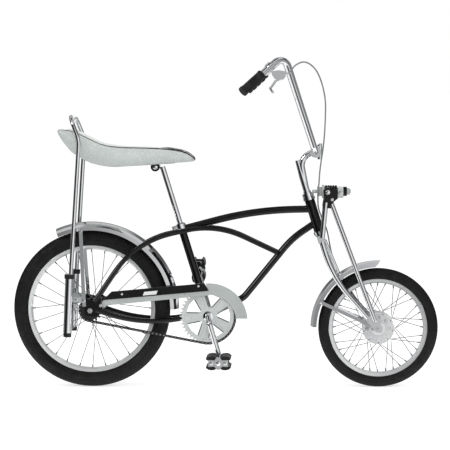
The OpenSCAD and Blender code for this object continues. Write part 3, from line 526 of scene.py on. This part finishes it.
def chain_points():
    """Pin places along the chain's loop, worked out as in the part's source."""
    bb = Vector(BB)
    ring_r = PITCH / 2 / math.sin(math.pi / RING_TEETH)
    cog_r = PITCH / 2 / math.sin(math.pi / COG_TEETH)
    dist = bb.length
    lap = math.asin((ring_r - cog_r) / dist)
    run = dist * math.cos(lap)
    ring_arc = (math.pi + 2 * lap) * ring_r
    cog_arc = (math.pi - 2 * lap) * cog_r
    total = 2 * run + ring_arc + cog_arc
    count = 2 * round(total / PITCH / 2)
    turn = math.atan2(bb.y, bb.x)
    for i in range(count):
        s = i * total / count
        if s < run:
            p = Vector((-math.sin(lap), math.cos(lap))) * cog_r + Vector((math.cos(lap), math.sin(lap))) * s
        elif s < run + ring_arc:
            a = math.pi / 2 + lap - (s - run) / ring_r
            p = Vector((dist + ring_r * math.cos(a), ring_r * math.sin(a)))
        elif s < 2 * run + ring_arc:
            p = Vector((dist - ring_r * math.sin(lap), -ring_r * math.cos(lap)))
            p -= Vector((math.cos(lap), -math.sin(lap))) * (s - run - ring_arc)
        else:
            a = -math.pi / 2 - lap - (s - 2 * run - ring_arc) / cog_r
            p = Vector((cog_r * math.cos(a), cog_r * math.sin(a)))
        yield Vector((p.x * math.cos(turn) - p.y * math.sin(turn),
                      p.x * math.sin(turn) + p.y * math.cos(turn)))


def make_chain_pins():
    pins = Bits()
    for p in chain_points():
        pins.dome((p.x, CHAIN_OUTER_Y, p.y), (0, -1, 0), 2.3, 0.9)
        pins.dome((p.x, CHAIN_INNER_Y, p.y), (0, 1, 0), 2.3, 0.9)
    pins.piece("chain_pins", "frame", PIN_STEEL, 50.0)


make_chain_pins()


# Fittings

CRANK_LEN = 140
CRANK_ANGLE = math.radians(286)
PEDAL_END_Y = 182.8
PEDAL_STUD = 22
PEDAL_CAP = [(8.2, 0), (8.2, 2.5), (6.5, 4.6), (3, 5.6)]
# Fasteners on both sides: kind, x, distance from the middle plane, z, radius and height
FRAME_FASTENERS = [("bolt", -31.5, 38, 256, 4.2, 3.2), ("bolt", -46, 66.3, 35, 4.6, 3.2),
                   ("bolt", -19.8, 69.3, 33, 4.6, 3.2), ("dome", 213, 21.8, 466.5, 9.0, 4.0),
                   ("bolt", 275.3, 7.8, 262.7, 5.2, 4.2)]
FORK_FASTENERS = [("bolt", 774, 61.8, 385, 6.2, 5.0), ("bolt", 788, 55.8, 361, 4.2, 3.2),
                  ("bolt", 816, 53.8, 382, 5.0, 3.5), ("dome", 752, 32.8, 22, 3.6, 2.0),
                  ("dome", 931, 54.8, -34, 3.8, 2.0)]
GUARD_FACE_Y = -59.9
CHAINRING_FACE_Y = -45.7


def make_pedal_ends(name, body, side):
    """A domed cap on the pedal's pin and the nuts of its two cross studs, at the outer end plate."""
    middle = Vector((BB[0] - side * CRANK_LEN * math.cos(CRANK_ANGLE), side * PEDAL_END_Y,
                     BB[1] - side * CRANK_LEN * math.sin(CRANK_ANGLE)))
    along = Vector((0, 0, 1)) if side > 0 else Vector((1, 0, 0))
    bits = Bits()
    bits.turned(middle + Vector((0, side, 0)), (0, side, 0), PEDAL_CAP, 24)
    for way in (1, -1):
        bits.bolt(middle + along * (PEDAL_STUD * way), (0, side, 0), 4.4, 3.6)
    bits.piece(name, body, CHROME)


def fasten(bits, rows):
    for side in (1, -1):
        for kind, x, y, z, r, h in rows:
            head = bits.bolt if kind == "bolt" else bits.dome
            head((x, side * y, z), (0, side, 0), r, h)


def make_fittings():
    make_pedal_ends("right_pedal_cap", "right_pedal", -1)
    make_pedal_ends("left_pedal_cap", "left_pedal", 1)
    frame_bits = Bits()
    fasten(frame_bits, FRAME_FASTENERS)
    for x, z in ((104, 54), (354, 80)):
        frame_bits.dome((x, GUARD_FACE_Y, z), (0, -1, 0), 4.0, 2.0)
    frame_bits.bolt((33, -62.4, 17), (0, -1, 0), 4.2, 3.0)
    frame_bits.piece("frame_fasteners", "frame", CHROME)

    front_bits = Bits()
    fasten(front_bits, FORK_FASTENERS)
    front_bits.bolt((751, 0, 536.8), (0, 0, 1), 5.0, 4.0)
    front_bits.piece("fork_fasteners", "front_end", CHROME)

    crank_bits = Bits()
    crank_bits.turned((BB[0], -46.5, BB[1]), (0, -1, 0), [(16, 0), (16, 1.2), (12, 2.4), (10, 3)], 32)
    crank_bits.turned((BB[0], 40.1, BB[1]), (0, 1, 0), [(15.5, 0), (15.5, 3.4), (12.5, 4.2)], 6)
    crank_bits.piece("crank_nuts", "crankset", CHROME)

    # Painted shade: a dark raised line along the folded edge each side of the chainring's five arms
    edges = Bits()
    for i in range(5):
        turn = math.radians(5 + 72 * i)
        for side in (1, -1):
            ends = []
            for x, z in ((31, 5.5 * side), (66, 25.5 * side)):
                ends.append((BB[0] + x * math.cos(turn) - z * math.sin(turn), CHAINRING_FACE_Y,
                             BB[1] + x * math.sin(turn) + z * math.cos(turn)))
            edges.swept(ends, 1.3, 8)
    edges.piece("chainring_fold_shade", "crankset", DARK_STEEL_AND_SHADE)

    patch = Bits()
    shape = [(172, 49), (216, 53), (221, 65), (177, 61)]
    patch.rings([[Vector((x, y, z)) for x, z in shape] for y in (GUARD_FACE_Y, GUARD_FACE_Y - 0.4)])
    patch.piece("guard_patch", "frame", WHITE_PATCH)


make_fittings()


# Brake cable

# The places the cable passes, as in the part's source
CABLE = [(643.4, -238.7, 768.9), (649, -238, 769.3), (657, -232, 778), (673, -213, 796), (697, -190, 805),
         (720, -164, 796), (740, -136, 773), (756, -106, 734), (766, -78, 685), (767, -60, 636),
         (764, -48, 571),
         (759, -40, 522), (754, -34, 489), (749, -30, 450), (746, -28, 411), (743, -26, 375), (744, -20, 336),
         (754, -9, 302), (765, 4, 278), (774, 16, 250), (780, 28, 218), (787, 40, 183), (797, 52, 148),
         (814, 60, 112), (838, 63, 72), (864, 62, 34), (890, 58.6, -5)]
CABLE_R = 2.45


def make_cable():
    """One smooth round cable through the places, with a crimped ferrule at each end."""
    path = []
    for i in range(len(CABLE) - 1):
        a, b, c, d = [Vector(CABLE[min(max(k, 0), len(CABLE) - 1)]) for k in (i - 1, i, i + 1, i + 2)]
        for step in range(5):
            t = step / 5
            path.append(b + (c - a) * (t / 2) + (a * 2 - b * 5 + c * 4 - d) * (t * t / 2)
                        + (b * 3 - a - c * 3 + d) * (t ** 3 / 2))
    path.append(Vector(CABLE[-1]))
    bits = Bits()
    bits.swept(path, CABLE_R, 10)
    bits.piece("brake_cable_smooth", "front_end", FINISHES["cable_sheath"], 60.0,
               ["brake_cable"])
    ends = Bits()
    for end, back in ((path[0], path[2]), (path[-1], path[-3])):
        ends.turned(end, (back - end).normalized(), [(3.3, 0), (3.3, 9), (2.9, 10)], 14)
    ends.piece("brake_cable_ferrules", "front_end", CHROME)


make_cable()


# Studio and camera

GROUND = at(0, 0, -REAR_TYRE_R).z
MIDDLE_X = 0.335
AIM = Vector((MIDDLE_X, 0.0, -0.2565))
DISTANCE = 6.5
AZIMUTH = math.radians(2.3)
ELEVATION = math.radians(4.6)
VIEW_WIDTH = 1.4735
ROLL = math.radians(0.26)
SENSOR = 36.0
# What lifts the lit floor to white, and how bright the world is to all but the camera and metal
FLOOR_LIFT = 0.56
SOFT_LIGHT = 0.6
# Each floor: half length, half width, height over the ground, and whether metal shows it or all else does
FLOORS = (("floor", 60.0, 60.0, 0.0, False), ("near_floor", 1.3, 0.5, 0.0002, True))
# What metal sees round the room, as (place, level): 0 and 1 are the backdrop, 0.25 the left, 0.5 behind
# the camera and 0.75 the right. The bench is what lies under the walls, beyond the near floor
WALLS = [(0.001, 1.0), (0.04, 1.0), (0.08, 0.42), (0.2, 0.24), (0.27, 0.07), (0.33, 0.012), (0.42, 0.012),
         (0.46, 0.12), (0.5, 0.5), (0.54, 0.9), (0.6, 1.0), (0.64, 0.65), (0.69, 0.4), (0.76, 0.3),
         (0.82, 0.1), (0.92, 0.3), (0.96, 1.0), (0.999, 1.0)]
BENCH = [(0.001, 0.4), (0.1, 0.4), (0.17, 0.5), (0.236, 0.95), (0.37, 0.95), (0.45, 0.6), (0.52, 0.25),
         (0.555, 0.03), (0.605, 0.03), (0.64, 0.5), (0.69, 1.0), (0.78, 0.9), (0.85, 0.4), (0.999, 0.4)]
CEILING_RING = 0.6
CEILING_MIDDLE = 0.04
LAMP_IN_METAL = 6.0


def floor_white():
    """White to the camera and in metal, with the object's shadow still on it."""
    mat = bpy.data.materials.new("floor_white")
    mat.use_nodes = True
    nodes, links = mat.node_tree.nodes, mat.node_tree.links
    nodes.clear()
    diffuse = nodes.new("ShaderNodeBsdfDiffuse")
    diffuse.inputs["Color"].default_value = (0.8, 0.8, 0.8, 1.0)
    path = nodes.new("ShaderNodeLightPath")
    shown = path.outputs["Is Camera Ray"]
    for kind in ("Is Glossy Ray", "Is Transmission Ray"):
        either = nodes.new("ShaderNodeMath")
        either.operation = "MAXIMUM"
        links.new(shown, either.inputs[0])
        links.new(path.outputs[kind], either.inputs[1])
        shown = either.outputs["Value"]
    lift = nodes.new("ShaderNodeMath")
    lift.operation = "MULTIPLY"
    lift.inputs[1].default_value = FLOOR_LIFT
    links.new(shown, lift.inputs[0])
    glow = nodes.new("ShaderNodeEmission")
    links.new(lift.outputs["Value"], glow.inputs["Strength"])
    both = nodes.new("ShaderNodeAddShader")
    links.new(diffuse.outputs["BSDF"], both.inputs[0])
    links.new(glow.outputs["Emission"], both.inputs[1])
    out = nodes.new("ShaderNodeOutputMaterial")
    links.new(both.outputs["Shader"], out.inputs["Surface"])
    return mat


def make_floor():
    """The wide floor, and just over it the stretch round the bicycle that metal shows."""
    mat = floor_white()
    for name, along, across, rise, in_metal in FLOORS:
        mesh = bpy.data.meshes.new(name)
        left, right, height = MIDDLE_X - along, MIDDLE_X + along, GROUND + rise
        mesh.from_pydata([(left, -across, height), (right, -across, height), (right, across, height),
                          (left, across, height)], [], [(0, 1, 2, 3)])
        mesh.materials.append(mat)
        floor = bpy.data.objects.new(name, mesh)
        bpy.context.scene.collection.objects.link(floor)
        floor.visible_glossy = in_metal
        floor.visible_transmission = in_metal
        floor.visible_camera = not in_metal
        floor.visible_diffuse = not in_metal
        floor.visible_shadow = not in_metal


def make_world():
    """White to the camera, and to metal a room with the white backdrop and one small lamp up on the left."""
    world = bpy.data.worlds.new("studio")
    bpy.context.scene.world = world
    world.use_nodes = True
    nodes, links = world.node_tree.nodes, world.node_tree.links
    nodes.clear()
    coords = nodes.new("ShaderNodeTexCoord")
    split = nodes.new("ShaderNodeSeparateXYZ")
    links.new(coords.outputs["Generated"], split.inputs["Vector"])

    def ranged(value, start, end, low, high):
        """Passes smoothly from low to high as the value goes from start to end."""
        node = nodes.new("ShaderNodeMapRange")
        node.interpolation_type = "SMOOTHSTEP"
        for socket, number in (("From Min", start), ("From Max", end), ("To Min", low), ("To Max", high)):
            node.inputs[socket].default_value = number
        links.new(value, node.inputs["Value"])
        return node.outputs["Result"]

    def maths(operation, a, b):
        node = nodes.new("ShaderNodeMath")
        node.operation = operation
        for socket, value in zip(node.inputs, (a, b)):
            if isinstance(value, float):
                socket.default_value = value
            else:
                links.new(value, socket)
        return node.outputs["Value"]

    def greys(value, stops):
        """A ramp of greys; its own two first stops go once the new ones are in."""
        node = nodes.new("ShaderNodeValToRGB")
        ramp = node.color_ramp
        for place, grey in stops:
            stop = ramp.elements.new(place)
            stop.color = (grey, grey, grey, 1.0)
        ramp.elements.remove(ramp.elements[-1])
        ramp.elements.remove(ramp.elements[0])
        links.new(value, node.inputs["Fac"])
        return node.outputs["Color"]

    def window(value, start, end, soft):
        """One between start and end, and nought outside."""
        opens = ranged(value, start, start + soft, 0.0, 1.0)
        return maths("MULTIPLY", opens, ranged(value, end - soft, end, 1.0, 0.0))

    def blend(value, other, share):
        kept = maths("MULTIPLY", value, maths("SUBTRACT", 1.0, share))
        return maths("ADD", kept, maths("MULTIPLY", other, share))

    round_room = maths("ARCTAN2", split.outputs["X"], maths("MULTIPLY", split.outputs["Y"], -1.0))
    round_room = ranged(round_room, -math.pi, math.pi, 0.0, 1.0)
    round_room.node.interpolation_type = "LINEAR"
    walls = greys(round_room, WALLS)
    bench = greys(round_room, BENCH)
    # Up the room: the bench, the walls, a dim band over them, a pale ring and a dark middle of the ceiling
    height = split.outputs["Z"]
    dim = maths("ADD", 0.03, maths("MULTIPLY", walls, 0.3))
    room = blend(walls, dim, ranged(height, 0.24, 0.36, 0.0, 1.0))
    room = blend(room, CEILING_RING, ranged(height, 0.6, 0.7, 0.0, 1.0))
    room = blend(room, CEILING_MIDDLE, ranged(height, 0.9, 0.96, 0.0, 1.0))
    room = blend(room, bench, ranged(height, -0.55, -0.35, 1.0, 0.0))
    lamp = maths("MULTIPLY", window(round_room, 0.32, 0.41, 0.01), window(height, 0.28, 0.54, 0.03))
    room = maths("ADD", room, maths("MULTIPLY", lamp, LAMP_IN_METAL))
    path = nodes.new("ShaderNodeLightPath")
    shiny = maths("MAXIMUM", path.outputs["Is Glossy Ray"], path.outputs["Is Transmission Ray"])
    seen = maths("ADD", SOFT_LIGHT, maths("MULTIPLY", shiny, maths("SUBTRACT", room, SOFT_LIGHT)))
    camera = path.outputs["Is Camera Ray"]
    level = maths("ADD", seen, maths("MULTIPLY", camera, maths("SUBTRACT", 1.0, seen)))
    back = nodes.new("ShaderNodeBackground")
    back.inputs["Color"].default_value = (1.0, 1.0, 1.0, 1.0)
    links.new(level, back.inputs["Strength"])
    out = nodes.new("ShaderNodeOutputWorld")
    links.new(back.outputs["Background"], out.inputs["Surface"])


def make_lamp(name, place, size, power):
    """A soft box aimed at the bicycle, unseen in metal, where the world's own lamp shows."""
    light = bpy.data.lights.new(name, "AREA")
    light.shape = "RECTANGLE"
    light.size, light.size_y = size
    light.energy = power
    lamp = bpy.data.objects.new(name, light)
    lamp.location = place
    lamp.rotation_euler = (AIM - Vector(place)).to_track_quat("-Z", "Y").to_euler()
    lamp.visible_glossy = False
    bpy.context.scene.collection.objects.link(lamp)


def make_camera():
    data = bpy.data.cameras.new("camera")
    camera = bpy.data.objects.new("camera", data)
    bpy.context.scene.collection.objects.link(camera)
    data.sensor_width = SENSOR
    data.lens = SENSOR * DISTANCE / VIEW_WIDTH
    out = Vector((math.sin(AZIMUTH) * math.cos(ELEVATION), -math.cos(AZIMUTH) * math.cos(ELEVATION),
                  math.sin(ELEVATION)))
    camera.location = AIM + out * DISTANCE
    upright = (-out).to_track_quat("-Z", "Y")
    camera.rotation_euler = (upright @ Quaternion((0.0, 0.0, 1.0), -ROLL)).to_euler()
    data.clip_end = 200.0
    bpy.context.scene.camera = camera


make_floor()
make_world()
make_lamp("overhead", (0.1, -0.8, 2.6), (3.2, 1.6), 26.0)
make_lamp("left_box", (-2.8, -1.6, 1.1), (1.2, 2.0), 16.0)
make_lamp("right_box", (3.2, -1.4, 1.0), (1.2, 2.0), 12.0)
make_lamp("front_fill", (0.5, -5.6, 1.2), (4.0, 2.4), 90.0)
make_camera()
bpy.context.scene.view_settings.view_transform = "Standard"
